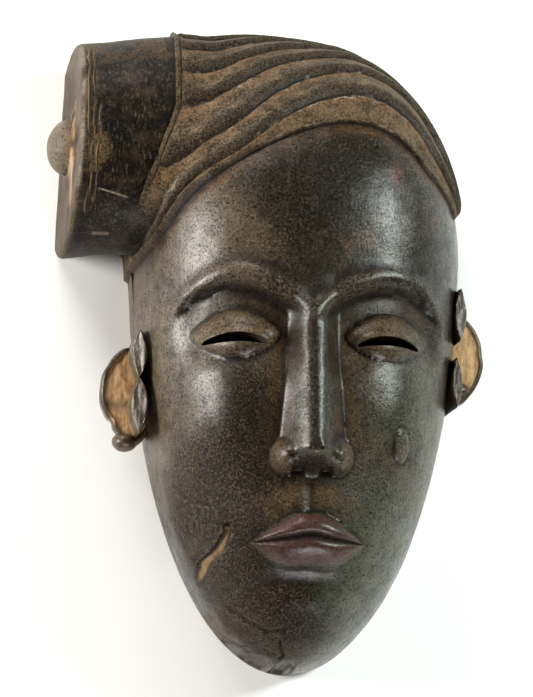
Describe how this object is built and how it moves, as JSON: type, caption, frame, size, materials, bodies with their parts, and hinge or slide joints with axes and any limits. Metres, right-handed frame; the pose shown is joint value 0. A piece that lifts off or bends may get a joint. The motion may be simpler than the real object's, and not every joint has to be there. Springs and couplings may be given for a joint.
{
  "type": "carved face mask",
  "caption": "Hollow carved wooden face mask with pierced slit eyes, ears, ridged hair swept to one side and a drum-shaped side knot.",
  "frame": {"origin": "middle of the bounding rectangle in the plane of the rim, which rests on the ground", "axes": "+Z out of the face, +Y toward the crown of the head, +X toward the viewer's right; the side knot is toward -X"},
  "size_m": [0.2105, 0.3045, 0.1209],
  "materials": {
    "wood": "dark stained and worn, satin"
  },
  "bodies": {
    "root": {"mask": "wood"}
  },
  "joints": []
}
